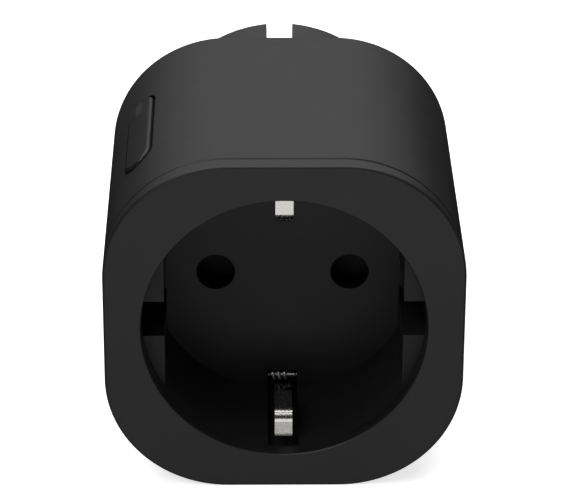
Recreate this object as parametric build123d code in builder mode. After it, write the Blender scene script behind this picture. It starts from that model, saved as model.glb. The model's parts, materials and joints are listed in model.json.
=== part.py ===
from build123d import *

import math
import os

# Smart plug adapter: a wall plug at the back, an earthed socket at the front, a push button on one corner.
#
# Frame, in millimetres: the origin is the centre of the flat face that the two plug pins stand on.
# +Y runs along the pins, away from the socket. +Z is up as the plug is used, and +X is to the right
# of someone who looks into the socket.

# ---------------------------------------------------------------- driving dimensions
# Case: a rounded square sleeve, closed at the back
case_width = 49.5
case_height = 49.5
case_corner_radius = 17.0
case_depth = 44.5
case_wall = 2.0
rear_wall = 2.6
case_rear_fillet = 0.3

# Front ring that frames the socket
ring_thickness = 2.4
ring_front_fillet = 0.4
seam_gap = 0.25
seam_chamfer = 0.2
ring_back_chamfer = 0.1
mouth_chamfer = 0.12
hook_angle = 27.0
hook_width = 5.0
hook_arm = 1.2
hook_barb = 0.7
hook_setback = 1.0

# Socket cup
recess_radius = 19.65
recess_floor_radius = 18.9
recess_depth = 17.6
cup_wall = 1.6
cup_floor = 2.0
flange_thickness = 1.6
flange_gap = 0.05
flat_half_width = 16.5
flat_start_depth = 3.5
guide_notch_height = 5.3
pin_pitch = 19.0
pin_hole_radius = 2.75
clip_slot_width = 4.3
clip_slot_depth = 21.0
clip_slot_wall = 1.4

# Plug boss and pins
boss_diameter = 38.0
boss_depth = 19.3
boss_edge = 0.2
boss_face_wall = 3.5
boss_cavity_radius = 13.6
pin_collar_radius = 4.4
pin_collar_length = 5.0
boss_flat_half_width = 16.1
boss_rib_height = 4.8
boss_rib_end = 7.2
earth_groove_width = 3.9
earth_groove_floor = 15.2
plug_flange = 1.8
pin_radius = 2.4
pin_length = 19.0
pin_tip_fillet = 2.2
pin_root_radius = 2.1
pin_seat = 0.15
pin_shoulder_radius = 3.2
pin_shoulder_length = 1.2
pin_tail_radius = 1.4
earth_hole_radius = 2.6
earth_hole_height = 10.0
earth_sleeve_length = 14.0
earth_sleeve_wall = 0.5
earth_hole_lip = 0.8
earth_collar_wall = 1.0

# Earth clips, one above and one below the socket's axis
clip_width = 2.45
clip_thickness = 0.5
clip_lip_depth = 3.3
clip_lip_outer = 18.4
clip_crest = 14.8
clip_crest_depth = 9.3
clip_foot_depth = 13.4
clip_bend_radius = 1.35
clip_corner_fillet = 0.3
clip_pivot_depth = 18.6
clip_pivot = 17.2
clip_ear_thickness = 0.25
clip_ear_radius = 0.55
clip_ear_reach = 2.0
pivot_radius = 0.27
pivot_seat = 1.0
coil_wire_radius = 0.23
coil_radius = 0.6
coil_turns = 2.5
coil_pitch = 0.83
coil_centre = -0.43
saddle_low = 0.95
saddle_high = 1.65
earth_strip = 0.8
earth_strap_width = 3.0
strap_foot = 2.4
strap_wall_gap = 1.45
strap_end_setback = 1.2
rivet_radius = 0.6
rivet_head_radius = 0.9
rivet_head = 0.35

# Safety shutter behind the pin holes
shutter_pad_width = 6.0
shutter_half_height = 5.2
shutter_rail = 1.6
shutter_thickness = 2.1
carrier_plate = 1.6
carrier_wall = 1.2
carrier_left = 16.5
carrier_right = 20.0
carrier_bottom = 9.4
carrier_tube_length = 7.7
contact_seat = 0.6
contact_setback = 0.7
contact_bore = 2.36
contact_wall = 0.5
contact_length = 11.0
contact_slit = 0.8
contact_solid_end = 2.5
contact_tail_width = 1.8
contact_tail_thickness = 0.7
tail_drop = 0.05
peg_x = 14.5
peg_drop = 7.6
peg_radius = 1.0
guide_pin_radius = 0.5
guide_pin_drop = 7.0
guide_left = 8.2
guide_right = 11.4
lug_width = 1.8
lug_place = -3.5
lug_sunk = 0.2
ramp_depth = 1.5
ramp_margin = 0.4
spring_wire_radius = 0.18
spring_radius = 0.9
spring_turns = 9

# Button on the upper left corner, and what is under it
button_angle = 43.1
button_width = 4.7
button_length = 20.9
button_centre_depth = 22.5
button_proud = 0.35
button_gap = 0.48
button_edge = 0.4
button_rim = 1.0
button_rim_top = 14.4
button_rim_thickness = 0.9
button_stem_radius = 1.3
lens_width = 1.4
lens_length = 3.5
lens_from_end = 2.75
switch_depth = 23.6
switch_size = 6.0
switch_body = 3.2
plunger_radius = 1.7
plunger_height = 1.3
plunger_sunk = 1.2
button_board_height = 7.0
button_board_width = 9.0
button_board_thickness = 1.0
led_height = 0.6
led_length = 1.6
led_width = 0.8
light_pipe_gap = 1.4
button_travel = 0.5

# Relay and the other parts on the main board
relay_left = -7.5
relay_right = 10.9
relay_bottom = 7.4
relay_top = 17.6
relay_depth = 14.6
relay_skin = 0.6
relay_base_thickness = 1.8
relay_bobbin_radius = 3.8
relay_coil_radius = 3.4
relay_core_radius = 1.9
relay_strip = 0.8
relay_strip_width = 6.6
relay_contact_radius = 1.2
relay_contact_height = 0.5
relay_rest_gap = 0.05
relay_tail_radius = 0.6
relay_tail_inset = 2.2
relay_tail_lift = 2.6
relay_corner_fillet = 0.5
relay_end_fillet = 0.4
armature_headroom = 1.6
armature_step = 1.4
armature_pole_reach = 1.6
hinge_inset = 1.1
hinge_gap = 0.1
coil_from_hinge = 4.9
pole_gap = 0.6
bobbin_setback = 0.4
bobbin_wall = 0.5
bobbin_flange = 0.7
armature_angle = 4.0
radio_x = 19.8
radio_thickness = 1.0
radio_half_height = 12.0
radio_length = 11.7
shield_thickness = 2.0
shield_fillet = 0.3
shield_margin = 0.8
shield_from_board = 1.6
shield_low_margin = 1.0
shield_high_margin = 6.5
antenna_thickness = 0.9
antenna_margin = 1.2
antenna_width = 2.4
antenna_from_board = 3.0
capacitor_radius = 4.0
capacitor_length = 10.5
capacitor_fillet = 0.6
bead_from_board = 1.6
bead_width = 0.5
bead_depth = 0.25
capacitor_places = [(-4.7, -12.4), (4.3, -12.4)]
choke_radius = 3.0
choke_length = 8.0
choke_flange = 1.0
choke_sunk = 0.3
choke_place = (12.2, -9.6)
varistor_radius = 3.5
varistor_thickness = 3.2
varistor_fillet = 0.9
varistor_lift = 1.2
varistor_place = (-13.9, -8.6)
fuse_radius = 1.4
fuse_length = 7.0
fuse_fillet = 0.5
fuse_lead_reach = 1.0
fuse_place = (-2.4, -18.3)
bar_thickness = 0.8
bar_width = 4.6
bar_margin = 1.6
bar_gap = 0.7
load_bar_width = 2.4

# Chips, the shunt and the leads of the round parts
chip_length = 5.0
chip_height = 1.5
chip_lift = 0.1
chip_lead_pitch = 1.27
chip_lead_width = 0.4
chip_lead_root = 0.05
chip_lead_reach = 0.9
power_chip_span = (-5.6, -1.7)
metering_chip_span = (1.7, 5.2)
shunt_low = (14.0, 0.8)
shunt_high = (16.6, 6.2)
shunt_height = 0.9
lead_radius = 0.35
varistor_lead = 2.2
fuse_lift = 0.3

# Circuit boards and screws
board_thickness = 1.6
board_margin = 1.55
standoff_height = 1.8
standoff_radius = 2.2
screw_radius = 1.25
screw_head_radius = 2.2
screw_head_height = 1.2
screw_length = 12.0
post_radius = 2.6
board_screw_radius = 1.0
board_screw_right_x = 11.5
board_screw_bottom_inset = 4.55
board_screw_left_inset = 5.15
board_screw_left_z = -2.0
pilot_skin = 0.6
screw_tip_gap = 0.2
board_screw_head_radius = 1.9
board_screw_head_height = 1.1
screw_sunk = 0.05
cross_arm = 1.15
cross_width = 0.5
cross_depth = 0.6
clearance = 0.35
slide_gap = 0.15
running_gap = 0.04
fit_gap = 0.01

# ---------------------------------------------------------------- derived places
front_y = -(boss_depth + case_depth)
rear_y = -boss_depth
ring_back_y = front_y + ring_thickness
sleeve_front_y = ring_back_y + seam_gap
flange_front_y = ring_back_y + flange_gap
flange_back_y = flange_front_y + flange_thickness
floor_front_y = front_y + recess_depth
floor_back_y = floor_front_y + cup_floor
rear_inner_y = rear_y - rear_wall
plug_flange_y = rear_inner_y - plug_flange
board_back_y = plug_flange_y - standoff_height
board_front_y = board_back_y - board_thickness
bar_back_y = board_back_y + bar_thickness
bridge_back_y = floor_back_y + earth_strip
shutter_front_y = bridge_back_y + slide_gap
shutter_back_y = shutter_front_y + shutter_thickness
carrier_front_y = shutter_back_y + slide_gap
carrier_back_y = carrier_front_y + carrier_plate

inner_width = case_width - 2 * case_wall
inner_height = case_height - 2 * case_wall
inner_corner = case_corner_radius - case_wall
corner_x = case_width / 2 - case_corner_radius
corner_z = case_height / 2 - case_corner_radius
cup_outer = recess_radius + cup_wall
post_reach = (inner_corner - post_radius - 1.5 * clearance) / math.sqrt(2)
post_x = corner_x + post_reach
post_z = corner_z + post_reach
post_places = [(post_x, post_z), (post_x, -post_z), (-post_x, -post_z)]
board_screw_places = [
    (board_screw_right_x, board_screw_bottom_inset - inner_height / 2),
    (board_screw_left_inset - inner_width / 2, board_screw_left_z),
]
pivot_y = front_y + clip_pivot_depth
pivot_length = clip_slot_width + 2 * pivot_seat
link_outer = inner_height / 2 - strap_wall_gap
link_inner = link_outer - earth_strip
rivet_z = link_inner - rivet_head_radius
hook_radius = cup_outer + clearance + hook_arm / 2 + hook_setback
hook_turns = [90 - hook_angle, 90 + hook_angle, 270 - hook_angle, 270 + hook_angle]
sleeve_outer = earth_hole_radius + earth_sleeve_wall
sleeve_end_y = -earth_hole_lip - earth_sleeve_length

button_y = front_y + button_centre_depth
switch_y = front_y + switch_depth
board_start_y = floor_back_y + clearance
switch_offset = switch_depth - button_centre_depth
lens_offset = button_length / 2 - lens_from_end
switch_top = button_board_height + switch_body + plunger_height + running_gap
relay_front_y = board_front_y - relay_depth
relay_common = (relay_right - relay_tail_inset, relay_bottom + relay_tail_lift)
relay_load = (relay_left + relay_tail_inset, relay_bottom + relay_tail_lift)
relay_mid_z = (relay_bottom + relay_top) / 2
relay_base_y = board_front_y - relay_base_thickness
armature_back_y = relay_front_y + relay_skin + armature_headroom
hinge_x = relay_right - hinge_inset
coil_x = hinge_x - coil_from_hinge
pole_y = armature_back_y + pole_gap


def across(y):
    """The plane square to the plug's axis at y, with X and Z as its axes. A negative extrusion runs to +Y."""
    return Plane((0, y, 0), x_dir=(1, 0, 0), z_dir=(0, -1, 0))


def side_on(x=0.0):
    """The plane at this x, with Y and Z as its axes and +X as its normal."""
    return Plane((x, 0, 0), x_dir=(0, 1, 0), z_dir=(1, 0, 0))


def hook_plane(turn, y):
    """The plane square to the plug's axis where a ring hook stands, with X pointing away from the axis."""
    out = (math.cos(math.radians(turn)), 0, math.sin(math.radians(turn)))
    return Plane((hook_radius * out[0], y, hook_radius * out[2]), x_dir=out, z_dir=(0, 1, 0))


def button_plane(height, y):
    """The plane square to the button's travel, at this height over the case corner's centre of curvature."""
    tilt = math.radians(button_angle)
    out = Vector(-math.cos(tilt), 0, math.sin(tilt))
    corner = Vector(-corner_x, y, corner_z)
    return Plane(corner + out * height, x_dir=(0, 1, 0), z_dir=tuple(out))


def save(piece, name):
    """Labels a finished piece and writes it to its own file."""
    piece.label = name
    export_step(piece, f"parts/{name}.step")


def box_between(low, high, mode=Mode.ADD):
    """A box between two corners, added to the part being built."""
    size = [b - a for a, b in zip(low, high)]
    middle = [(a + b) / 2 for a, b in zip(low, high)]
    with Locations(tuple(middle)):
        Box(*size, mode=mode)


def rod_along_y(radius, y_start, y_end, x=0.0, z=0.0, mode=Mode.ADD):
    """A cylinder along the plug's axis, added to the part being built."""
    with Locations((x, (y_start + y_end) / 2, z)):
        Cylinder(radius, y_end - y_start, rotation=(90, 0, 0), mode=mode)


os.makedirs("parts", exist_ok=True)

# ---------------------------------------------------------------- case
with BuildPart() as housing:
    with BuildSketch(across(sleeve_front_y)):
        RectangleRounded(case_width, case_height, case_corner_radius)
    extrude(amount=-(rear_y - sleeve_front_y))
    fillet(housing.faces().sort_by(Axis.Y)[-1].edges(), case_rear_fillet)
    with BuildSketch(across(sleeve_front_y)):
        RectangleRounded(inner_width, inner_height, inner_corner)
    extrude(amount=-(rear_inner_y - sleeve_front_y), mode=Mode.SUBTRACT)
    chamfer(housing.faces().sort_by(Axis.Y)[0].outer_wire().edges(), seam_chamfer)
    rod_along_y(boss_diameter / 2 + slide_gap, rear_inner_y - 1, rear_y + 1, mode=Mode.SUBTRACT)
    for x, z in post_places:
        rod_along_y(screw_radius + slide_gap, rear_inner_y - 1, rear_y + 1, x, z, Mode.SUBTRACT)
        head_y = rear_y - screw_head_height - slide_gap
        rod_along_y(screw_head_radius + clearance, head_y, rear_y + 1, x, z, Mode.SUBTRACT)
    with BuildSketch(button_plane(button_rim_top, button_y)):
        SlotOverall(button_length + 2 * button_gap, button_width + 2 * button_gap)
    extrude(amount=case_corner_radius, mode=Mode.SUBTRACT)
save(housing.part, "housing")

with BuildPart() as front_ring:
    with BuildSketch(across(front_y)):
        RectangleRounded(case_width, case_height, case_corner_radius)
    extrude(amount=-ring_thickness)
    fillet(front_ring.faces().sort_by(Axis.Y)[0].edges(), ring_front_fillet)
    chamfer(front_ring.faces().sort_by(Axis.Y)[-1].edges(), ring_back_chamfer)
    rod_along_y(recess_radius, front_y - 1, ring_back_y + 1, mode=Mode.SUBTRACT)
    mouth = front_ring.edges().filter_by(GeomType.CIRCLE).group_by(Axis.Y)[0]
    chamfer(mouth.sort_by(SortBy.RADIUS)[-1:], mouth_chamfer)
    hook_end_y = flange_back_y + running_gap + hook_arm
    for turn in hook_turns:
        with BuildSketch(hook_plane(turn, ring_back_y)):
            Rectangle(hook_arm, hook_width)
        extrude(amount=hook_end_y - ring_back_y)
        with BuildSketch(hook_plane(turn, hook_end_y - hook_arm)):
            with Locations((-(hook_arm + hook_barb) / 2, 0)):
                Rectangle(hook_barb, hook_width)
        extrude(amount=hook_arm)
save(front_ring.part, "front_ring")

# ---------------------------------------------------------------- socket insert
with BuildPart() as socket_insert:
    # cup, with a slight draft on its inner wall
    with BuildSketch(Plane.XY):
        with BuildLine():
            Polyline(
                (0, floor_front_y),
                (recess_floor_radius, floor_front_y),
                (recess_radius, flange_front_y),
                (cup_outer, flange_front_y),
                (cup_outer, floor_back_y),
                (0, floor_back_y),
                close=True,
            )
        make_face()
    revolve(axis=Axis.Y)
    # flange that the ring hooks onto, with the three screw posts behind it
    with BuildSketch(across(flange_front_y)):
        RectangleRounded(
            inner_width - 2 * clearance, inner_height - 2 * clearance, inner_corner - clearance
        )
        Circle(recess_radius + cup_wall / 2, mode=Mode.SUBTRACT)
    extrude(amount=-flange_thickness)
    for x, z in post_places:
        rod_along_y(post_radius, flange_front_y, plug_flange_y, x, z)
    # housings round the two clip slots
    slot_half = clip_slot_width / 2 + clip_slot_wall
    for side in (1, -1):
        low, high = sorted((0.9 * side * cup_outer, side * (clip_slot_depth + clip_slot_wall)))
        box_between((-slot_half, flange_front_y, low), (slot_half, floor_back_y, high))
    # empty the recess again, then add the side flats
    with BuildSketch(Plane.XY):
        with BuildLine():
            Polyline(
                (0, floor_front_y),
                (recess_floor_radius, floor_front_y),
                (recess_radius, flange_front_y),
                (0, flange_front_y),
                close=True,
            )
        make_face()
    revolve(axis=Axis.Y, mode=Mode.SUBTRACT)
    with BuildSketch(across(front_y + flat_start_depth)):
        Circle(recess_radius + cup_wall / 2)
        Rectangle(2 * flat_half_width, 3 * recess_radius, mode=Mode.SUBTRACT)
    extrude(amount=-(recess_depth - flat_start_depth + cup_floor / 2))
    for side in (1, -1):
        low, high = sorted((side * recess_radius, side * (flat_half_width - 1)))
        box_between(
            (low, front_y + flat_start_depth - 0.5, -guide_notch_height / 2),
            (high, floor_front_y, guide_notch_height / 2),
            Mode.SUBTRACT,
        )
    # pin holes, clip slots and the windows that the clips' pivots reach through
    for x in (-pin_pitch / 2, pin_pitch / 2):
        rod_along_y(pin_hole_radius, floor_front_y - 1, floor_back_y + 1, x, 0, Mode.SUBTRACT)
    for side in (1, -1):
        slot_floor = side * clip_slot_depth
        slot_top = side * (recess_floor_radius - 1.5)
        window_top = side * (clip_pivot - 1.2)
        box_between(
            (-clip_slot_width / 2, flange_front_y - 1, min(slot_floor, slot_top)),
            (clip_slot_width / 2, floor_front_y, max(slot_floor, slot_top)),
            Mode.SUBTRACT,
        )
        box_between(
            (-clip_slot_width / 2, floor_front_y - 0.1, min(slot_floor, window_top)),
            (clip_slot_width / 2, floor_back_y + 1, max(slot_floor, window_top)),
            Mode.SUBTRACT,
        )
        # bearing holes for the clip's pivot, one each side of the window
        with Locations((0, pivot_y, side * clip_pivot)):
            Cylinder(pivot_radius, pivot_length, rotation=(0, 90, 0), mode=Mode.SUBTRACT)
    # windows for the ring's hooks, and pilot holes in the posts
    for turn in hook_turns:
        with BuildSketch(hook_plane(turn, flange_front_y - 1)):
            Rectangle(hook_arm + 2 * slide_gap, hook_width + 2 * clearance)
        extrude(amount=flange_thickness + 2, mode=Mode.SUBTRACT)
    for x, z in post_places:
        rod_along_y(screw_radius, plug_flange_y - screw_length, plug_flange_y, x, z, Mode.SUBTRACT)
    # pegs that hold the contact carrier
    for x in (-peg_x, peg_x):
        rod_along_y(peg_radius, floor_back_y - cup_floor / 2, carrier_back_y, x, -peg_drop)
save(socket_insert.part, "socket_insert")

# ---------------------------------------------------------------- plug side
with BuildPart() as plug_body:
    with BuildSketch(across(plug_flange_y)):
        RectangleRounded(
            inner_width - 2 * clearance, inner_height - 2 * clearance, inner_corner - clearance
        )
    extrude(amount=-plug_flange)
    rod_along_y(boss_diameter / 2, plug_flange_y, 0)
    fillet(plug_body.faces().sort_by(Axis.Y)[-1].edges(), boss_edge)
    for side in (1, -1):
        # flat on each side, with a rib left standing at its root
        flat_low, flat_high = sorted((side * boss_flat_half_width, side * boss_diameter))
        flat_end = -(recess_depth - flat_start_depth + clearance)
        box_between((flat_low, flat_end, boss_rib_height / 2), (flat_high, 1, case_height), Mode.SUBTRACT)
        box_between((flat_low, flat_end, -case_height), (flat_high, 1, -boss_rib_height / 2), Mode.SUBTRACT)
        box_between(
            (flat_low, -(boss_depth - boss_rib_end), -case_height),
            (flat_high, 1, case_height),
            Mode.SUBTRACT,
        )
        # groove for the earth strap, and the slot that it comes through
        low, high = sorted((side * earth_groove_floor, side * boss_diameter))
        box_between(
            (-earth_groove_width / 2, rear_y, low),
            (earth_groove_width / 2, 1, high),
            Mode.SUBTRACT,
        )
        low, high = sorted((side * earth_groove_floor, side * (earth_groove_floor + earth_strip)))
        box_between(
            (-earth_strap_width / 2, plug_flange_y - 1, low),
            (earth_strap_width / 2, rear_y + 1, high),
            Mode.SUBTRACT,
        )
    rod_along_y(boss_cavity_radius, plug_flange_y - 1, -boss_face_wall, mode=Mode.SUBTRACT)
    # collars inside the boss for the pins and for the earth sleeve
    for x in (-pin_pitch / 2, pin_pitch / 2):
        with BuildSketch(across(-boss_face_wall)):
            with Locations((x, 0)):
                Circle(pin_collar_radius)
                Circle(pin_shoulder_radius, mode=Mode.SUBTRACT)
        extrude(amount=pin_collar_length)
        rod_along_y(pin_root_radius + fit_gap, -boss_face_wall - 1, 1, x, 0, Mode.SUBTRACT)
        rod_along_y(pin_radius, -pin_seat, 1, x, 0, Mode.SUBTRACT)
    with BuildSketch(across(-boss_face_wall)):
        with Locations((0, earth_hole_height)):
            Circle(sleeve_outer + earth_collar_wall)
            Circle(sleeve_outer, mode=Mode.SUBTRACT)
    extrude(amount=earth_sleeve_length - boss_face_wall)
    rod_along_y(
        earth_hole_radius + slide_gap, -boss_face_wall, 1, 0, earth_hole_height, Mode.SUBTRACT
    )
    rod_along_y(
        sleeve_outer, sleeve_end_y, -earth_hole_lip, 0, earth_hole_height, Mode.SUBTRACT
    )
    # standoffs for the main board, and the screw holes
    for x, z in board_screw_places:
        rod_along_y(standoff_radius, board_back_y, plug_flange_y + plug_flange / 2, x, z)
        rod_along_y(board_screw_radius, board_back_y - 1, rear_inner_y - pilot_skin, x, z, Mode.SUBTRACT)
    for x, z in post_places:
        rod_along_y(
            screw_radius + slide_gap, plug_flange_y - 1, rear_inner_y + 1, x, z, Mode.SUBTRACT
        )
save(plug_body.part, "plug_body")


def plug_pin(x):
    """One plug pin: a round blade in front of the face, a shoulder behind it and a tail to the board."""
    with BuildPart() as pin:
        rod_along_y(pin_radius, -pin_seat, pin_length, x)
        fillet(pin.faces().sort_by(Axis.Y)[-1].edges(), pin_tip_fillet)
        rod_along_y(pin_root_radius, -boss_face_wall, -pin_seat, x)
        rod_along_y(pin_shoulder_radius, -boss_face_wall - pin_shoulder_length, -boss_face_wall, x)
        rod_along_y(pin_tail_radius, board_front_y + 0.1, -boss_face_wall, x)
    return pin.part


save(plug_pin(-pin_pitch / 2), "neutral_pin")
save(plug_pin(pin_pitch / 2), "line_pin")

with BuildPart() as earth_pin_sleeve:
    with BuildSketch(across(-earth_hole_lip)):
        with Locations((0, earth_hole_height)):
            Circle(sleeve_outer)
            Circle(earth_hole_radius, mode=Mode.SUBTRACT)
    extrude(amount=earth_sleeve_length)
    tab_low = earth_hole_height + sleeve_outer - earth_strip
    tab_front = plug_flange_y - 2 * earth_strip
    box_between(
        (-earth_strap_width / 2, tab_front, tab_low),
        (earth_strap_width / 2, sleeve_end_y, tab_low + earth_strip),
    )
    box_between(
        (-earth_strap_width / 2, tab_front, tab_low),
        (earth_strap_width / 2, tab_front + earth_strip, earth_groove_floor + 2 * earth_strip),
    )
save(earth_pin_sleeve.part, "earth_pin_sleeve")


def earth_strap(side):
    """The strap from the earth bridge, over the main board, to the groove in the plug boss."""
    foot_z = link_inner - strap_foot
    groove_end = -strap_end_setback
    path = [
        (bridge_back_y, foot_z),
        (bridge_back_y, link_outer),
        (plug_flange_y, link_outer),
        (plug_flange_y, earth_groove_floor + earth_strip),
        (groove_end, earth_groove_floor + earth_strip),
        (groove_end, earth_groove_floor),
        (plug_flange_y - earth_strip, earth_groove_floor),
        (plug_flange_y - earth_strip, link_inner),
        (bridge_back_y + earth_strip, link_inner),
        (bridge_back_y + earth_strip, foot_z),
    ]
    with BuildPart() as strap:
        with BuildSketch(side_on()):
            with BuildLine():
                Polyline(*[(y, side * z) for y, z in path], close=True)
            make_face()
        extrude(amount=earth_strap_width / 2, both=True)
        rod_along_y(rivet_radius, bridge_back_y - 1, bridge_back_y + 2, 0, side * rivet_z, Mode.SUBTRACT)
    return strap.part


save(earth_strap(1), "earth_strap_top")
save(earth_strap(-1), "earth_strap_bottom")

with BuildPart() as earth_rivets:
    for side in (1, -1):
        z = side * rivet_z
        rod_along_y(rivet_radius, floor_back_y, bridge_back_y + earth_strip, 0, z)
        rod_along_y(rivet_head_radius, floor_back_y - rivet_head, floor_back_y, 0, z)
        rivet_end = bridge_back_y + earth_strip + rivet_head
        rod_along_y(rivet_head_radius, bridge_back_y + earth_strip, rivet_end, 0, z)
save(earth_rivets.part, "earth_rivets")

with BuildPart() as earth_bridge:
    bridge_half = clip_slot_width / 2 - slide_gap
    box_between((-bridge_half, floor_back_y, -link_outer), (bridge_half, bridge_back_y, link_outer))
    for side in (1, -1):
        # saddle that bears on the back of the clip's pivot
        z_low, z_high = sorted(
            (side * (clip_pivot - 2 * pivot_radius), side * (clip_pivot + 2 * pivot_radius))
        )
        box_between((saddle_low, pivot_y, z_low), (saddle_high, floor_back_y, z_high))
        with Locations((0, pivot_y, side * clip_pivot)):
            Cylinder(pivot_radius, pivot_length, rotation=(0, 90, 0), mode=Mode.SUBTRACT)
        rod_along_y(
            rivet_radius, floor_back_y - 1, bridge_back_y + 1, 0, side * rivet_z, Mode.SUBTRACT
        )
save(earth_bridge.part, "earth_bridge")

with BuildPart() as clip_pivots:
    for side in (1, -1):
        with Locations((0, pivot_y, side * clip_pivot)):
            Cylinder(pivot_radius, pivot_length, rotation=(0, 90, 0))
save(clip_pivots.part, "clip_pivots")


def earth_clip(side):
    """One sprung earth contact: a lip at the mouth, a bowed strip, and two ears on its pivot."""
    strip_back = clip_pivot + coil_radius + coil_wire_radius + fit_gap
    tail = strip_back + clip_thickness / 2
    path = [
        (clip_lip_depth, clip_lip_outer),
        (clip_lip_depth, clip_crest),
        (clip_crest_depth, clip_crest),
        (clip_foot_depth, tail),
        (clip_pivot_depth + clip_ear_radius, tail),
    ]
    with BuildPart() as clip:
        with BuildSketch(side_on()):
            with BuildLine():
                line = FilletPolyline(
                    *[(front_y + depth, side * z) for depth, z in path], radius=clip_bend_radius
                )
            trace(line, line_width=clip_thickness)
        extrude(amount=clip_width / 2, both=True)
        lip = clip.edges().filter_by(Axis.Y).sort_by(Axis.Z, reverse=side < 0)[-2:]
        fillet(lip, clip_corner_fillet)
        # ears: the strip's end widens and turns down each side of the coil
        z_low, z_high = sorted((side * strip_back, side * (strip_back + clip_thickness)))
        ear_front = front_y + clip_pivot_depth - clip_ear_radius
        ear_rear = front_y + clip_pivot_depth + clip_ear_radius
        box_between((-clip_ear_reach, ear_front, z_low), (clip_ear_reach, ear_rear, z_high))
        for hand in (1, -1):
            ear_inner = clip_ear_reach - clip_ear_thickness
            x_low, x_high = sorted((hand * ear_inner, hand * clip_ear_reach))
            z_low, z_high = sorted((side * clip_pivot, side * (strip_back + clip_thickness / 2)))
            box_between((x_low, ear_front, z_low), (x_high, ear_rear, z_high))
            with Locations(((x_low + x_high) / 2, pivot_y, side * clip_pivot)):
                Cylinder(clip_ear_radius, clip_ear_thickness, rotation=(0, 90, 0))
        with Locations((0, pivot_y, side * clip_pivot)):
            Cylinder(
                pivot_radius + running_gap,
                3 * clip_ear_reach,
                rotation=(0, 90, 0),
                mode=Mode.SUBTRACT,
            )
    return clip.part


save(earth_clip(1), "earth_clip_top")
save(earth_clip(-1), "earth_clip_bottom")


def torsion_coil(side):
    """The coil on a clip's pivot, which presses the clip into the recess."""
    turns_length = coil_turns * coil_pitch
    start = (coil_centre - turns_length / 2, pivot_y, side * clip_pivot)
    with BuildPart() as coil:
        with BuildLine():
            run = Helix(coil_pitch, turns_length, coil_radius, center=start, direction=(1, 0, 0))
        with BuildSketch(Plane(run @ 0, z_dir=run % 0)):
            Circle(coil_wire_radius)
        sweep(path=run)
    return coil.part


save(torsion_coil(1), "clip_spring_top")
save(torsion_coil(-1), "clip_spring_bottom")

# ---------------------------------------------------------------- shutter and contacts
shutter_mid_y = (shutter_front_y + shutter_back_y) / 2
shutter_reach = pin_pitch / 2 + shutter_pad_width / 2

with BuildPart() as shutter_slider:
    with BuildSketch(across(shutter_front_y)):
        Rectangle(2 * shutter_reach, 2 * shutter_half_height)
        Rectangle(
            2 * (shutter_reach - shutter_pad_width),
            2 * (shutter_half_height - shutter_rail),
            mode=Mode.SUBTRACT,
        )
        with Locations((lug_place, lug_sunk - guide_pin_drop)):
            Rectangle(lug_width, 2 * (guide_pin_drop - shutter_half_height) - lug_sunk)
    extrude(amount=-shutter_thickness)
    # ramps that a pair of plug pins pushes on to slide the shutter aside
    for x in (-pin_pitch / 2, pin_pitch / 2):
        with BuildSketch(Plane.XY.offset(-pin_hole_radius)):
            with BuildLine():
                Polyline(
                    (x - shutter_pad_width / 2, shutter_front_y + ramp_depth),
                    (x - shutter_pad_width / 2, shutter_front_y),
                    (x + pin_hole_radius - ramp_margin, shutter_front_y),
                    close=True,
                )
            make_face()
        extrude(amount=2 * pin_hole_radius, mode=Mode.SUBTRACT)
    with Locations((lug_place, shutter_mid_y, -guide_pin_drop)):
        Cylinder(
            guide_pin_radius + running_gap,
            2 * lug_width,
            rotation=(0, 90, 0),
            mode=Mode.SUBTRACT,
        )
save(shutter_slider.part, "shutter_slider")

with BuildPart() as shutter_guide_pin:
    guide_length = guide_left + guide_right + 2 * carrier_wall
    with Locations(((guide_right - guide_left) / 2, shutter_mid_y, -guide_pin_drop)):
        Cylinder(guide_pin_radius, guide_length, rotation=(0, 90, 0))
save(shutter_guide_pin.part, "shutter_guide_pin")

with BuildPart() as shutter_spring:
    spring_start = lug_place + lug_width / 2 + spring_wire_radius
    spring_run = guide_right - spring_wire_radius - spring_start
    with BuildLine():
        coil_line = Helix(
            spring_run / spring_turns,
            spring_run,
            spring_radius,
            center=(spring_start, shutter_mid_y, -guide_pin_drop),
            direction=(1, 0, 0),
        )
    with BuildSketch(Plane(coil_line @ 0, z_dir=coil_line % 0)):
        Circle(spring_wire_radius)
    sweep(path=coil_line)
save(shutter_spring.part, "shutter_spring")

with BuildPart() as contact_carrier:
    wall_low = shutter_half_height + slide_gap
    wall_high = wall_low + carrier_wall
    box_between(
        (-carrier_left, carrier_front_y, -carrier_bottom),
        (carrier_right, carrier_back_y, wall_high),
    )
    box_between((-carrier_left, floor_back_y, wall_low), (carrier_right, carrier_front_y, wall_high))
    for x in (-guide_left - carrier_wall / 2, guide_right + carrier_wall / 2):
        box_between(
            (x - carrier_wall / 2, floor_back_y, -carrier_bottom),
            (x + carrier_wall / 2, carrier_front_y, -shutter_half_height - 2 * slide_gap),
        )
    # the bridge passes under the wall
    box_between(
        (-clip_slot_width / 2, floor_back_y - 1, wall_low - 1),
        (clip_slot_width / 2, bridge_back_y + slide_gap, wall_high + 1),
        Mode.SUBTRACT,
    )
    with Locations(((guide_right - guide_left) / 2, shutter_mid_y, -guide_pin_drop)):
        Cylinder(guide_pin_radius, guide_length, rotation=(0, 90, 0), mode=Mode.SUBTRACT)
    # tubes round the two sleeve contacts, open towards the plug pins
    tube_bore = contact_bore + contact_wall + slide_gap
    for x in (-pin_pitch / 2, pin_pitch / 2):
        rod_along_y(tube_bore + carrier_wall, carrier_back_y, carrier_back_y + carrier_tube_length, x)
        bore_start = carrier_front_y + contact_seat
        rod_along_y(tube_bore, bore_start, carrier_back_y + contact_length, x, 0, Mode.SUBTRACT)
        rod_along_y(pin_hole_radius, carrier_front_y - 1, carrier_back_y, x, 0, Mode.SUBTRACT)
    for x in (-peg_x, peg_x):
        rod_along_y(peg_radius, carrier_front_y - 1, carrier_back_y + 1, x, -peg_drop, Mode.SUBTRACT)
save(contact_carrier.part, "contact_carrier")

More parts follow.
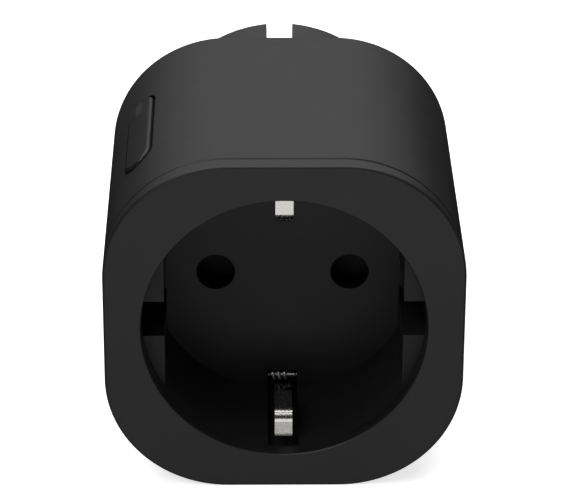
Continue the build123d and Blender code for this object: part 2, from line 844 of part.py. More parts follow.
contact_start_y = carrier_front_y + contact_setback
contact_end_y = contact_start_y + contact_length
contact_tail_z = -(contact_bore + contact_wall) - tail_drop


def sleeve_contact(x):
    """A slit sleeve that grips a plug pin, with a tail that goes through the main board."""
    with BuildPart() as sleeve:
        rod_along_y(contact_bore + contact_wall, contact_start_y, contact_end_y, x)
        rod_along_y(contact_bore, contact_start_y - 1, contact_end_y + 1, x, 0, Mode.SUBTRACT)
        slit_end = contact_end_y - contact_solid_end
        tail_start_y = contact_end_y - 0.8 * contact_solid_end
        box_between(
            (x - contact_slit / 2, contact_start_y - 1, -2 * contact_bore),
            (x + contact_slit / 2, slit_end, 2 * contact_bore),
            Mode.SUBTRACT,
        )
        box_between(
            (x - contact_tail_width / 2, tail_start_y, contact_tail_z - contact_tail_thickness / 2),
            (x + contact_tail_width / 2, bar_back_y, contact_tail_z + contact_tail_thickness / 2),
        )
    return sleeve.part


save(sleeve_contact(-pin_pitch / 2), "neutral_contact")
save(sleeve_contact(pin_pitch / 2), "line_contact")

# ---------------------------------------------------------------- button and its board
def outer_face(piece):
    """The face of the button that follows the case's corner."""
    round_faces = piece.faces().filter_by(GeomType.CYLINDER)
    return min(round_faces, key=lambda face: abs(face.radius - case_corner_radius - button_proud))


with BuildPart() as power_button:
    button_body = button_plane(button_rim_top - button_rim_thickness, button_y)
    with BuildSketch(button_body):
        SlotOverall(button_length, button_width)
    extrude(amount=case_corner_radius / 2)
    with BuildSketch(button_body):
        SlotOverall(button_length + 2 * button_rim, button_width + 2 * button_rim)
    extrude(amount=button_rim_thickness)
    # the outer face follows the rounded corner of the case, slightly proud of it
    with Locations((-corner_x, button_y, corner_z)):
        Cylinder(
            case_corner_radius + button_proud,
            2 * button_length,
            rotation=(90, 0, 0),
            mode=Mode.INTERSECT,
        )
    fillet(outer_face(power_button).edges(), button_edge)
    stem_gap = button_rim_top - button_rim_thickness - switch_top
    with BuildSketch(button_body):
        with Locations((switch_offset, 0)):
            Circle(button_stem_radius)
    extrude(amount=-stem_gap)
    with BuildSketch(button_body):
        with Locations((lens_offset, 0)):
            SlotOverall(lens_length, lens_width)
    extrude(amount=case_corner_radius / 2, mode=Mode.SUBTRACT)
save(power_button.part, "power_button")

with BuildPart() as status_lens:
    with BuildSketch(button_plane(button_board_height + led_height + light_pipe_gap, button_y)):
        with Locations((lens_offset, 0)):
            SlotOverall(lens_length, lens_width)
    extrude(amount=case_corner_radius)
    with Locations((-corner_x, button_y, corner_z)):
        Cylinder(
            case_corner_radius + button_proud,
            2 * button_length,
            rotation=(90, 0, 0),
            mode=Mode.INTERSECT,
        )
save(status_lens.part, "status_lens")

with BuildPart() as button_board:
    with BuildSketch(button_plane(button_board_height, (board_start_y + board_front_y) / 2)):
        Rectangle(board_front_y - board_start_y, button_board_width)
    extrude(amount=-button_board_thickness)
save(button_board.part, "button_board")

with BuildPart() as tact_switch:
    with BuildSketch(button_plane(button_board_height, switch_y)):
        Rectangle(switch_size, switch_size)
    extrude(amount=switch_body)
    with BuildSketch(button_plane(button_board_height + switch_body, switch_y)):
        Circle(plunger_radius + running_gap)
    extrude(amount=-plunger_sunk - button_travel, mode=Mode.SUBTRACT)
save(tact_switch.part, "tact_switch")

with BuildPart() as tact_plunger:
    with BuildSketch(button_plane(button_board_height + switch_body - plunger_sunk, switch_y)):
        Circle(plunger_radius)
    extrude(amount=plunger_sunk + plunger_height)
save(tact_plunger.part, "tact_plunger")

with BuildPart() as status_led:
    with BuildSketch(button_plane(button_board_height, button_y)):
        with Locations((lens_offset, 0)):
            Rectangle(led_length, led_width)
    extrude(amount=led_height)
save(status_led.part, "status_led")

# ---------------------------------------------------------------- main board
with BuildPart() as main_board:
    with BuildSketch(across(board_front_y)):
        RectangleRounded(
            inner_width - 2 * board_margin,
            inner_height - 2 * board_margin,
            inner_corner - board_margin,
        )
        with Locations(*post_places):
            Circle(post_radius + clearance, mode=Mode.SUBTRACT)
        with Locations(*board_screw_places):
            Circle(board_screw_radius + slide_gap, mode=Mode.SUBTRACT)
        with Locations(relay_common, relay_load):
            Circle(relay_tail_radius, mode=Mode.SUBTRACT)
        # slots for the two earth straps
        with Locations((0, inner_height / 2), (0, -inner_height / 2)):
            Rectangle(
                earth_strap_width + 2 * clearance,
                inner_height - 2 * (link_inner - clearance),
                mode=Mode.SUBTRACT,
            )
        for x in (-pin_pitch / 2, pin_pitch / 2):
            with Locations((x, 0)):
                Circle(pin_tail_radius, mode=Mode.SUBTRACT)
            with Locations((x, contact_tail_z)):
                Rectangle(contact_tail_width, contact_tail_thickness, mode=Mode.SUBTRACT)
    extrude(amount=-board_thickness)
save(main_board.part, "main_board")


def bus_bar(x, z_low, z_high, relay_tails=()):
    """A flat copper bar round one plug pin, on the back of the main board, with holes for what it joins."""
    with BuildPart() as bar:
        with BuildSketch(across(board_back_y)):
            with Locations((x, (z_low + z_high) / 2)):
                Rectangle(bar_width, z_high - z_low)
            with Locations((x, 0)):
                Circle(pin_tail_radius, mode=Mode.SUBTRACT)
            with Locations((x, contact_tail_z)):
                Rectangle(contact_tail_width, contact_tail_thickness, mode=Mode.SUBTRACT)
            for spot in relay_tails:
                with Locations(spot):
                    Circle(relay_tail_radius, mode=Mode.SUBTRACT)
        extrude(amount=-bar_thickness)
    return bar.part


half = pin_pitch / 2
save(bus_bar(-half, contact_tail_z - bar_margin, bar_width / 2), "neutral_bar")
line_bar_low = contact_tail_z + contact_tail_thickness / 2 + bar_gap
save(bus_bar(half, line_bar_low, relay_common[1] + bar_margin, [relay_common]), "line_bar")

load_left = relay_load[0] - load_bar_width / 2
load_top = relay_load[1] + load_bar_width / 2
load_low = contact_tail_z - bar_margin

with BuildPart() as load_bar:
    with BuildSketch(across(board_back_y)):
        with BuildLine():
            Polyline(
                (load_left, load_top),
                (load_left + load_bar_width, load_top),
                (load_left + load_bar_width, load_low + load_bar_width),
                (half + bar_margin, load_low + load_bar_width),
                (half + bar_margin, load_low),
                (load_left, load_low),
                close=True,
            )
        make_face()
        with Locations(relay_load):
            Circle(relay_tail_radius, mode=Mode.SUBTRACT)
        with Locations((half, contact_tail_z)):
            Rectangle(contact_tail_width, contact_tail_thickness, mode=Mode.SUBTRACT)
    extrude(amount=-bar_thickness)
save(load_bar.part, "load_bar")

# ---------------------------------------------------------------- relay
strip_low_z = relay_mid_z - relay_strip_width / 2
strip_high_z = relay_mid_z + relay_strip_width / 2

with BuildPart() as relay_base:
    box_between(
        (relay_left, relay_base_y, relay_bottom), (relay_right, board_front_y, relay_top)
    )
    for x, z in (relay_common, relay_load):
        rod_along_y(relay_tail_radius, relay_base_y - 1, board_front_y + 1, x, z, Mode.SUBTRACT)
save(relay_base.part, "relay_base")

with BuildPart() as relay_cover:
    box_between((relay_left, relay_front_y, relay_bottom), (relay_right, relay_base_y, relay_top))
    fillet(relay_cover.edges().filter_by(Axis.Y), relay_corner_fillet)
    fillet(relay_cover.faces().sort_by(Axis.Y)[0].edges(), relay_end_fillet)
    box_between(
        (relay_left + relay_skin, relay_front_y + relay_skin, relay_bottom + relay_skin),
        (relay_right - relay_skin, relay_base_y + 1, relay_top - relay_skin),
        Mode.SUBTRACT,
    )
save(relay_cover.part, "relay_cover")

with BuildPart() as relay_yoke:
    box_between(
        (coil_x - relay_bobbin_radius, relay_base_y - relay_strip, strip_low_z),
        (hinge_x + relay_strip / 2, relay_base_y, strip_high_z),
    )
    box_between(
        (hinge_x - relay_strip / 2, armature_back_y + hinge_gap, strip_low_z),
        (hinge_x + relay_strip / 2, relay_base_y, strip_high_z),
    )
    rod_along_y(relay_tail_radius, relay_base_y, bar_back_y, *relay_common)
save(relay_yoke.part, "relay_yoke")

with BuildPart() as relay_core:
    rod_along_y(relay_core_radius, pole_y, relay_base_y - relay_strip, coil_x, relay_mid_z)
save(relay_core.part, "relay_core")

with BuildPart() as relay_bobbin:
    bobbin_start = pole_y + bobbin_setback
    bobbin_end = relay_base_y - relay_strip
    rod_along_y(relay_core_radius + bobbin_wall, bobbin_start, bobbin_end, coil_x, relay_mid_z)
    rod_along_y(relay_bobbin_radius, bobbin_start, bobbin_start + bobbin_flange, coil_x, relay_mid_z)
    rod_along_y(relay_bobbin_radius, bobbin_end - bobbin_flange, bobbin_end, coil_x, relay_mid_z)
    rod_along_y(
        relay_core_radius, bobbin_start - 1, bobbin_end + 1, coil_x, relay_mid_z, Mode.SUBTRACT
    )
save(relay_bobbin.part, "relay_bobbin")

with BuildPart() as relay_coil:
    coil_start = bobbin_start + bobbin_flange
    rod_along_y(relay_coil_radius, coil_start, bobbin_end - bobbin_flange, coil_x, relay_mid_z)
    rod_along_y(
        relay_core_radius + bobbin_wall, bobbin_start, bobbin_end, coil_x, relay_mid_z, Mode.SUBTRACT
    )
save(relay_coil.part, "relay_coil")

contact_x = relay_load[0]
armature_length = hinge_x - contact_x + relay_contact_radius
contact_gap = armature_length * math.sin(math.radians(armature_angle)) + relay_rest_gap

with BuildPart() as relay_armature:
    box_between(
        (contact_x - relay_contact_radius, armature_back_y - relay_strip, strip_low_z + armature_step),
        (hinge_x, armature_back_y, strip_high_z - armature_step),
    )
    box_between(
        (coil_x - relay_core_radius - armature_pole_reach, armature_back_y - relay_strip, strip_low_z),
        (hinge_x, armature_back_y, strip_high_z),
    )
    # rounded edge that rocks on the yoke
    with Locations((hinge_x, armature_back_y - relay_strip / 2, relay_mid_z)):
        Cylinder(relay_strip / 2, relay_strip_width)
    rod_along_y(
        relay_contact_radius,
        armature_back_y,
        armature_back_y + relay_contact_height,
        contact_x,
        relay_mid_z,
    )
save(relay_armature.part, "relay_armature")

with BuildPart() as relay_fixed_contact:
    face_y = armature_back_y + relay_contact_height + contact_gap
    rod_along_y(relay_contact_radius, face_y, face_y + relay_contact_height, contact_x, relay_mid_z)
    box_between(
        (contact_x - relay_contact_radius, face_y + relay_contact_height, relay_load[1] - relay_tail_radius),
        (
            contact_x + relay_contact_radius,
            face_y + relay_contact_height + relay_strip,
            relay_mid_z + relay_contact_radius,
        ),
    )
    box_between(
        (contact_x - relay_contact_radius, face_y + relay_contact_height, relay_load[1] - relay_tail_radius),
        (contact_x + relay_contact_radius, relay_base_y, relay_load[1] + relay_tail_radius),
    )
    rod_along_y(relay_tail_radius, relay_base_y, bar_back_y, *relay_load)
save(relay_fixed_contact.part, "relay_fixed_contact")

# ---------------------------------------------------------------- other parts on the boards
with BuildPart() as filter_capacitors:
    for x, z in capacitor_places:
        rod_along_y(capacitor_radius, board_front_y - capacitor_length, board_front_y, x, z)
    ends = filter_capacitors.edges().filter_by(GeomType.CIRCLE).group_by(Axis.Y)
    fillet(ends[0], capacitor_fillet)
    # crimped bead round each can, near the board
    with BuildSketch(across(board_front_y - bead_from_board)):
        for x, z in capacitor_places:
            with Locations((x, z)):
                Circle(capacitor_radius + bead_depth)
                Circle(capacitor_radius - bead_depth, mode=Mode.SUBTRACT)
    extrude(amount=bead_width, mode=Mode.SUBTRACT)
save(filter_capacitors.part, "filter_capacitors")

with BuildPart() as choke:
    rod_along_y(choke_radius, board_front_y - choke_length, board_front_y, *choke_place)
    # the winding, sunk between the two end flanges
    with BuildSketch(across(board_front_y - choke_length + choke_flange)):
        with Locations(choke_place):
            Circle(choke_radius + choke_sunk)
            Circle(choke_radius - choke_sunk, mode=Mode.SUBTRACT)
    extrude(amount=-(choke_length - 2 * choke_flange), mode=Mode.SUBTRACT)
save(choke.part, "choke")

with BuildPart() as varistor:
    x, z = varistor_place
    with Locations((x, board_front_y - varistor_radius - varistor_lift, z)):
        Cylinder(varistor_radius, varistor_thickness, rotation=(0, 90, 0))
    fillet(varistor.edges().filter_by(GeomType.CIRCLE), varistor_fillet)
    for lead in (-varistor_lead, varistor_lead):
        rod_along_y(lead_radius, board_front_y - varistor_radius, board_front_y, x, z + lead)
save(varistor.part, "varistor")

with BuildPart() as fuse_resistor:
    x, z = fuse_place
    fuse_y = board_front_y - fuse_radius - fuse_lift
    with Locations((x, fuse_y, z)):
        Cylinder(fuse_radius, fuse_length, rotation=(0, 90, 0))
    fillet(fuse_resistor.edges().filter_by(GeomType.CIRCLE), fuse_fillet)
    lead_out = fuse_length / 2 + fuse_lead_reach
    with Locations((x, fuse_y, z)):
        Cylinder(lead_radius, 2 * lead_out, rotation=(0, 90, 0))
    for lead in (-lead_out, lead_out):
        rod_along_y(lead_radius, fuse_y - lead_radius, board_front_y, x + lead, z)
save(fuse_resistor.part, "fuse_resistor")


def flat_chip(z_low, z_high):
    """A surface-mounted chip: a moulded body with a row of four leads along each side."""
    with BuildPart() as chip:
        box_between(
            (-chip_length / 2, board_front_y - chip_height, z_low),
            (chip_length / 2, board_front_y - chip_lift, z_high),
        )
        for place in (-1.5, -0.5, 0.5, 1.5):
            x = place * chip_lead_pitch
            for edge, way in ((z_low, -1), (z_high, 1)):
                low, high = sorted((edge - way * chip_lead_root, edge + way * chip_lead_reach))
                box_between(
                    (x - chip_lead_width / 2, board_front_y - chip_height / 3, low),
                    (x + chip_lead_width / 2, board_front_y, high),
                )
    return chip.part


save(flat_chip(*power_chip_span), "power_chip")
save(flat_chip(*metering_chip_span), "metering_chip")

with BuildPart() as shunt_resistor:
    box_between(
        (shunt_low[0], board_front_y - shunt_height, shunt_low[1]),
        (shunt_high[0], board_front_y, shunt_high[1]),
    )
save(shunt_resistor.part, "shunt_resistor")

radio_start_y = board_front_y - radio_length
with BuildPart() as radio_board:
    box_between(
        (radio_x, radio_start_y, -radio_half_height),
        (radio_x + radio_thickness, board_front_y, radio_half_height),
    )
save(radio_board.part, "radio_board")

with BuildPart() as radio_shield:
    box_between(
        (radio_x - shield_thickness, radio_start_y + shield_margin, -radio_half_height + shield_low_margin),
        (radio_x, board_front_y - shield_from_board, radio_half_height - shield_high_margin),
    )
    fillet(radio_shield.faces().sort_by(Axis.X)[0].edges(), shield_fillet)
save(radio_shield.part, "radio_shield")

with BuildPart() as radio_antenna:
    box_between(
        (
            radio_x - antenna_thickness,
            radio_start_y + antenna_margin,
            radio_half_height - antenna_margin - antenna_width,
        ),
        (radio_x, board_front_y - antenna_from_board, radio_half_height - antenna_margin),
    )
save(radio_antenna.part, "radio_antenna")

# ---------------------------------------------------------------- screws
def cross_recess(x, z, y_low, y_high, arm, width):
    """Cuts the cross for a screwdriver into a head at this place."""
    for reach_x, reach_z in ((arm, width / 2), (width / 2, arm)):
        box_between((x - reach_x, y_low, z - reach_z), (x + reach_x, y_high, z + reach_z), Mode.SUBTRACT)


with BuildPart() as case_screws:
    for x, z in post_places:
        head_y = rear_y - screw_head_height
        rod_along_y(screw_head_radius, head_y, rear_y - screw_sunk, x, z)
        rod_along_y(screw_radius, head_y - screw_length, head_y, x, z)
        cross_recess(x, z, rear_y - cross_depth, rear_y + 1, cross_arm, cross_width)
save(case_screws.part, "case_screws")

with BuildPart() as board_screws:
    for x, z in board_screw_places:
        head_y = board_front_y - board_screw_head_height
        rod_along_y(board_screw_head_radius, head_y, board_front_y, x, z)
        rod_along_y(board_screw_radius, board_front_y, rear_inner_y - pilot_skin - screw_tip_gap, x, z)
        cross_recess(x, z, head_y - 1, head_y + cross_depth, cross_arm, cross_width)
save(board_screws.part, "board_screws")
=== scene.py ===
import json
import math

import bpy
from mathutils import Matrix, Vector


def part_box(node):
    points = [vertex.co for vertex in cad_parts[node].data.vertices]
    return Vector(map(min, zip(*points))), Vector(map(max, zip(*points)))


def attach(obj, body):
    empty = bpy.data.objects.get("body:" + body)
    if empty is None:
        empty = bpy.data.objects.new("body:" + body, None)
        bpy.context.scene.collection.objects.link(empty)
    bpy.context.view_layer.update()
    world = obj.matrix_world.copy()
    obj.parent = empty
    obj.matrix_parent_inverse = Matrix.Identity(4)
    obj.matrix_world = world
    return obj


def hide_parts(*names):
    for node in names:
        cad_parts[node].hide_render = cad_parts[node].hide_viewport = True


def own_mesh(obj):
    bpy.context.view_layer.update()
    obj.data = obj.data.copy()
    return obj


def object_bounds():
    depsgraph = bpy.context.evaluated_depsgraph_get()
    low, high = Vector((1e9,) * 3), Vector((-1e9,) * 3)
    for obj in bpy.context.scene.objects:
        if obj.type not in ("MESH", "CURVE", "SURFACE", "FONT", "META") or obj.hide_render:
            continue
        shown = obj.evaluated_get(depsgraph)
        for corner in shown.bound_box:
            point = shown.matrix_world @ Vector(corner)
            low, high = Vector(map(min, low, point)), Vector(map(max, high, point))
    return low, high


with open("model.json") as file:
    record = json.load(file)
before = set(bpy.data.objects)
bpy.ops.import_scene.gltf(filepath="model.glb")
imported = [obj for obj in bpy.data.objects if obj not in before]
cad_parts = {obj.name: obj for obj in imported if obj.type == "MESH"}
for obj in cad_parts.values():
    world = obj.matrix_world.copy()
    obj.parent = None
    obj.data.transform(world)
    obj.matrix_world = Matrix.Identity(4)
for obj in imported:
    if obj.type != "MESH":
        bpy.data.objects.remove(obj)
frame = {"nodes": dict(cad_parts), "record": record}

cad_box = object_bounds()
nodes = frame["nodes"]
mm = 0.001

# Tints of the black shell, and the depths behind the front face where the painted shade on the clips
# begins, where it is darkest, and how dark it gets
shell_dark = (0.0085, 0.0085, 0.0089)
shell_light = (0.0105, 0.0105, 0.0110)
clip_painted_shade_start = 10.6 * mm
clip_painted_shade_full = 12.4 * mm
clip_painted_shade_level = 0.12

# Camera, measured from the middle of the socket's front face
eye_offset = Vector((-5.43, -359.51, 194.36)) * mm
target_offset = Vector((-0.285, 20.0, 2.153)) * mm
camera_roll = math.radians(0.208)
camera_lens = 191.77
camera_sensor = 36.0

floor_size = 6.0
floor_glow = 0.75


# The socket's front face, taken from the frame
front_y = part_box("front_ring")[0][1]

# ---------------------------------------------------------------- materials
def new_material(name):
    m = bpy.data.materials.new(name)
    m.use_nodes = True
    tree = m.node_tree
    tree.nodes.clear()
    out = tree.nodes.new("ShaderNodeOutputMaterial")
    shader = tree.nodes.new("ShaderNodeBsdfPrincipled")
    tree.links.new(shader.outputs["BSDF"], out.inputs["Surface"])
    return m, tree, shader


def place(tree, scale=(1, 1, 1)):
    """Object coordinates, in metres, with each axis scaled."""
    coord = tree.nodes.new("ShaderNodeTexCoord")
    mapping = tree.nodes.new("ShaderNodeMapping")
    mapping.inputs["Scale"].default_value = scale
    tree.links.new(coord.outputs["Object"], mapping.inputs["Vector"])
    return mapping.outputs["Vector"]


def noise(tree, vector, scale, detail=3.0, rough=0.55):
    n = tree.nodes.new("ShaderNodeTexNoise")
    n.inputs["Scale"].default_value = scale
    n.inputs["Detail"].default_value = detail
    n.inputs["Roughness"].default_value = rough
    tree.links.new(vector, n.inputs["Vector"])
    return n.outputs["Fac"]


def spread(tree, value, low, high, start=0.3, end=0.7):
    """Maps a noise value to a range."""
    r = tree.nodes.new("ShaderNodeMapRange")
    r.inputs["From Min"].default_value = start
    r.inputs["From Max"].default_value = end
    r.inputs["To Min"].default_value = low
    r.inputs["To Max"].default_value = high
    tree.links.new(value, r.inputs["Value"])
    return r.outputs["Result"]


def blend_colour(tree, value, low, high, start=0.3, end=0.7):
    ramp = tree.nodes.new("ShaderNodeValToRGB")
    ramp.color_ramp.elements[0].position = start
    ramp.color_ramp.elements[1].position = end
    ramp.color_ramp.elements[0].color = (*low, 1)
    ramp.color_ramp.elements[1].color = (*high, 1)
    tree.links.new(value, ramp.inputs["Fac"])
    return ramp.outputs["Color"]


def bump(tree, shader, height, strength, distance, under=None):
    b = tree.nodes.new("ShaderNodeBump")
    b.inputs["Strength"].default_value = strength
    b.inputs["Distance"].default_value = distance
    tree.links.new(height, b.inputs["Height"])
    if under is not None:
        tree.links.new(under, b.inputs["Normal"])
    tree.links.new(b.outputs["Normal"], shader.inputs["Normal"])
    return b.outputs["Normal"]


def moulded(name, dark, light, rough, grain=4200, depth=0.25, specular=0.5, patch=60):
    """Moulded plastic: fine spark-eroded grain, slow colour drift and a slightly uneven gloss."""
    m, tree, shader = new_material(name)
    at = place(tree)
    tree.links.new(
        blend_colour(tree, noise(tree, at, patch, 4.0), dark, light), shader.inputs["Base Color"]
    )
    tree.links.new(
        spread(tree, noise(tree, at, patch * 4, 5.0), rough - 0.02, rough + 0.02),
        shader.inputs["Roughness"],
    )
    fine = bump(tree, shader, noise(tree, at, grain, 2.0), depth, 0.03 * mm)
    bump(tree, shader, noise(tree, at, patch * 0.7, 2.0), 0.004, 0.2 * mm, fine)
    shader.inputs["Specular IOR Level"].default_value = specular
    return m


def metal(name, dark, light, rough, streak=(1, 1, 1), scale=900, depth=0.15):
    """Plated or drawn metal: streaks along one way, dull patches and faint dents."""
    m, tree, shader = new_material(name)
    at = place(tree)
    along = place(tree, streak)
    lines = noise(tree, along, scale, 5.0, 0.65)
    tree.links.new(blend_colour(tree, lines, dark, light), shader.inputs["Base Color"])
    patches = noise(tree, at, 350, 4.0)
    tree.links.new(spread(tree, patches, rough - 0.08, rough + 0.12), shader.inputs["Roughness"])
    bump(tree, shader, lines, depth, 0.02 * mm)
    shader.inputs["Metallic"].default_value = 1.0
    return m


def clip_metal_painted_shade(name, dark, light, rough):
    """Plated metal whose colour darkens from the mouth of the socket towards the clip's pivot, as painted
    shade deep in the recess.
    """
    m, tree, shader = new_material(name)
    at = place(tree)
    grain = noise(tree, at, 3400, 3.0)
    split = tree.nodes.new("ShaderNodeSeparateXYZ")
    tree.links.new(at, split.inputs["Vector"])
    # Painted shade: the colour falls to a small share of the plated colour deeper behind the front face
    painted_shade_factor = spread(
        tree,
        split.outputs["Y"],
        1.0,
        clip_painted_shade_level,
        front_y + clip_painted_shade_start,
        front_y + clip_painted_shade_full,
    )
    tint = tree.nodes.new("ShaderNodeMix")
    tint.data_type = "RGBA"
    tint.blend_type = "MULTIPLY"
    tint.inputs["Factor"].default_value = 1.0
    tree.links.new(blend_colour(tree, grain, dark, light), tint.inputs["A"])
    tree.links.new(painted_shade_factor, tint.inputs["B"])
    tree.links.new(tint.outputs["Result"], shader.inputs["Base Color"])
    tree.links.new(spread(tree, grain, rough - 0.04, rough + 0.06), shader.inputs["Roughness"])
    bump(tree, shader, grain, 0.10, 0.02 * mm)
    shader.inputs["Metallic"].default_value = 1.0
    return m


def board_material(name):
    """Solder mask over copper tracks, which show as slightly raised lighter lines."""
    m, tree, shader = new_material(name)
    at = place(tree)
    cells = tree.nodes.new("ShaderNodeTexVoronoi")
    cells.feature = "DISTANCE_TO_EDGE"
    cells.inputs["Scale"].default_value = 420
    tree.links.new(at, cells.inputs["Vector"])
    tracks = spread(tree, cells.outputs["Distance"], 1.0, 0.0, 0.06, 0.10)
    tree.links.new(
        blend_colour(tree, tracks, (0.008, 0.075, 0.03), (0.02, 0.16, 0.06), 0.2, 0.8),
        shader.inputs["Base Color"],
    )
    tree.links.new(spread(tree, noise(tree, at, 900), 0.24, 0.4), shader.inputs["Roughness"])
    bump(tree, shader, tracks, 0.5, 0.035 * mm)
    return m


def lens_material(name):
    """Frosted smoke lens."""
    m, tree, shader = new_material(name)
    at = place(tree)
    tree.links.new(
        blend_colour(tree, noise(tree, at, 800), (0.020, 0.020, 0.021), (0.028, 0.028, 0.030)),
        shader.inputs["Base Color"],
    )
    tree.links.new(spread(tree, noise(tree, at, 2500), 0.3, 0.45), shader.inputs["Roughness"])
    bump(tree, shader, noise(tree, at, 5000), 0.2, 0.02 * mm)
    shader.inputs["Transmission Weight"].default_value = 0.15
    return m


case_black = moulded("case_black", shell_dark, shell_light, 0.46, specular=0.34)
face_black = moulded("ring_black", shell_dark, shell_light, 0.44, specular=0.34)
# The socket insert gets a lighter black than the shell, as painted light for the dim recess walls, with a
# lower specular level
cup_black_painted_light = moulded("insert_black", (0.011, 0.011, 0.0114), (0.0135, 0.0135, 0.014), 0.46, specular=0.18)
button_black = moulded("button_black", shell_dark, shell_light, 0.40, specular=0.32)
boss_black = moulded("boss_black", shell_dark, shell_light, 0.46, specular=0.42)
clip_painted_shade_metal = clip_metal_painted_shade("clip_nickel_painted_shade", (0.54, 0.53, 0.51), (0.70, 0.69, 0.67), 0.24)
# The earth bridge gets a near-black nickel, as painted shade for its place deep behind the recess floor
bridge_painted_shade_metal = metal("bridge_nickel_painted_shade", (0.06, 0.06, 0.06), (0.11, 0.11, 0.11), 0.45)
materials = {
    "case_black": case_black,
    "insert_black": cup_black_painted_light,
    "button_black": button_black,
    "lens": lens_material("status_lens"),
    "nickel": metal(
        "nickel_plate", (0.50, 0.49, 0.47), (0.74, 0.73, 0.70),
        0.26, (1, 0.08, 1), 2400,
    ),
    "spring_steel": metal(
        "spring_wire", (0.74, 0.74, 0.74), (0.88, 0.88, 0.88),
        0.40, (0.2, 1, 1), 3000,
    ),
    "shutter_grey": moulded(
        "shutter_grey", (0.003, 0.003, 0.0032), (0.005, 0.005, 0.0053),
        0.6, specular=0.10,
    ),
    "carrier_white": moulded("carrier_white", (0.60, 0.58, 0.53), (0.70, 0.68, 0.63), 0.45),
    "board_green": board_material("solder_mask"),
    "copper": metal(
        "contact_copper", (0.62, 0.36, 0.20), (0.86, 0.58, 0.38),
        0.28, (1, 0.1, 1), 1800,
    ),
    "winding": metal(
        "copper_winding", (0.35, 0.12, 0.05), (0.75, 0.36, 0.18),
        0.35, (0.05, 1, 0.05), 5200, 0.8,
    ),
    "iron": metal("soft_iron", (0.30, 0.30, 0.31), (0.48, 0.48, 0.48), 0.42, (1, 0.2, 1), 1600),
    "relay_blue": moulded("relay_blue", (0.018, 0.075, 0.25), (0.026, 0.10, 0.31), 0.28),
    "component_black": moulded(
        "component_black", (0.012, 0.012, 0.012), (0.022, 0.022, 0.022),
        0.55, 6000, 0.5,
    ),
    "capacitor_sleeve": moulded(
        "capacitor_sleeve", (0.012, 0.016, 0.04), (0.02, 0.026, 0.06),
        0.25,
    ),
    "varistor_blue": moulded(
        "varistor_blue", (0.02, 0.10, 0.34), (0.035, 0.14, 0.42),
        0.2, 1500, 0.4,
    ),
    "resistor_green": moulded("resistor_green", (0.08, 0.24, 0.17), (0.12, 0.32, 0.24), 0.3),
    "shield_tin": metal(
        "shield_tin", (0.5, 0.5, 0.49), (0.74, 0.74, 0.72),
        0.33, (1, 1, 0.15), 1500,
    ),
    "ceramic_white": moulded("ceramic_white", (0.66, 0.65, 0.6), (0.76, 0.75, 0.7), 0.3),
    "led_white": moulded("led_white", (0.62, 0.6, 0.46), (0.75, 0.73, 0.6), 0.15),
    "screw_steel": metal(
        "black_zinc", (0.08, 0.08, 0.085), (0.17, 0.17, 0.18),
        0.36, (1, 1, 1), 1200,
    ),
}


def wear(obj, material):
    obj.data.materials.clear()
    obj.data.materials.append(material)


slot_of = {s["node"]: s["material_slot"] for s in frame["record"]["subparts"]}
for name, obj in nodes.items():
    wear(obj, materials[slot_of[name]])
wear(nodes["front_ring"], face_black)
wear(nodes["plug_body"], boss_black)
# The earth bridge wears the near-black nickel painted as shade
wear(nodes["earth_bridge"], bridge_painted_shade_metal)
# Both earth clips carry the painted shade that darkens them deep in the recess
for name in ("earth_clip_top", "earth_clip_bottom"):
    wear(nodes[name], clip_painted_shade_metal)

# ---------------------------------------------------------------- shutter spring
# The spring shortens as the shutter slides; a copy of its mesh, attached to the case body, stands in for
# the rigid one, which is hidden.
return_spring = bpy.data.objects.new("return_spring", nodes["shutter_spring"].data.copy())
bpy.context.scene.collection.objects.link(return_spring)
wear(return_spring, materials["spring_steel"])
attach(return_spring, "case")
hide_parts("shutter_spring")
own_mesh(return_spring)

# ---------------------------------------------------------------- floor, lights and camera
floor_z = cad_box[0][2]
bpy.ops.mesh.primitive_plane_add(size=floor_size, location=(0, 0, floor_z))
floor = bpy.context.object
floor.name = "studio_floor"
floor_mat, tree, shader = new_material("studio_floor")
at = place(tree)
tree.links.new(
    blend_colour(tree, noise(tree, at, 6.0), (0.87, 0.87, 0.87), (0.9, 0.9, 0.9)),
    shader.inputs["Base Color"],
)
tree.links.new(spread(tree, noise(tree, at, 40.0), 0.85, 0.95), shader.inputs["Roughness"])
bump(tree, shader, noise(tree, at, 300.0), 0.05, 0.1 * mm)
shader.inputs["Specular IOR Level"].default_value = 0.1
shader.inputs["Emission Color"].default_value = (1, 1, 1, 1)
shader.inputs["Emission Strength"].default_value = floor_glow
wear(floor, floor_mat)
floor.visible_glossy = False
floor.visible_shadow = False

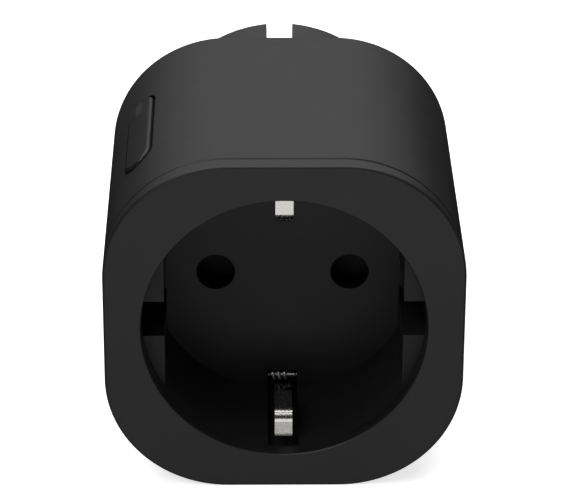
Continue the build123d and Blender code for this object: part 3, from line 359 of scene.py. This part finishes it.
scene = bpy.context.scene
scene.view_settings.view_transform = "Standard"
world = bpy.data.worlds.new("studio")
scene.world = world
world.use_nodes = True
world.node_tree.nodes["Background"].inputs["Color"].default_value = (1, 1, 1, 1)
world.node_tree.nodes["Background"].inputs["Strength"].default_value = 1.0
world.cycles_visibility.diffuse = False
world.cycles_visibility.glossy = False



def softbox(name, spot, aim, width, height, glow):
    """A soft light panel. Its glow is its brightness, with the white floor at about one."""
    light = bpy.data.lights.new(name, "AREA")
    light.shape = "RECTANGLE"
    light.size = width
    light.size_y = height
    light.energy = glow * math.pi * width * height
    obj = bpy.data.objects.new(name, light)
    scene.collection.objects.link(obj)
    obj.location = spot
    obj.rotation_euler = (Vector(aim) - Vector(spot)).to_track_quat("-Z", "Y").to_euler()
    return obj


centre = (0, -0.03, 0)
softbox("top_box", (-0.05, 0.15, 0.90), centre, 1.1, 1.0, 2.8)
softbox("back_box", (-0.10, 1.10, 0.62), centre, 2.6, 0.6, 0.95)
softbox("brow_box", (-0.35, -0.60, 0.82), centre, 0.7, 0.35, 4.2)
softbox("front_card", (0.0, -0.95, -0.25), centre, 1.0, 0.5, 1.25)
softbox("left_card", (-1.2, -0.1, 0.2), centre, 1.0, 1.0, 0.08)
softbox("right_card", (1.2, -0.1, 0.2), centre, 1.0, 1.0, 0.05)
softbox("rear_card", (0.0, 1.2, -0.15), centre, 1.2, 0.5, 0.10)


# The camera looks down at the socket from in front, with a long lens
socket_front = Vector((0, front_y, 0))
eye = socket_front + eye_offset
target = socket_front + target_offset
back = (eye - target).normalized()
right = (-back).cross(Vector((0, 0, 1))).normalized()
up = right.cross(-back).normalized()
side = math.cos(camera_roll) * right + math.sin(camera_roll) * up
top = -math.sin(camera_roll) * right + math.cos(camera_roll) * up
camera_data = bpy.data.cameras.new("camera")
camera_data.sensor_width = camera_sensor
camera_data.lens = camera_lens
camera_data.clip_start = 0.02
camera = bpy.data.objects.new("camera", camera_data)
scene.collection.objects.link(camera)
camera.matrix_world = Matrix(
    (
        (side.x, top.x, back.x, eye.x),
        (side.y, top.y, back.y, eye.y),
        (side.z, top.z, back.z, eye.z),
        (0, 0, 0, 1),
    )
)
scene.camera = camera
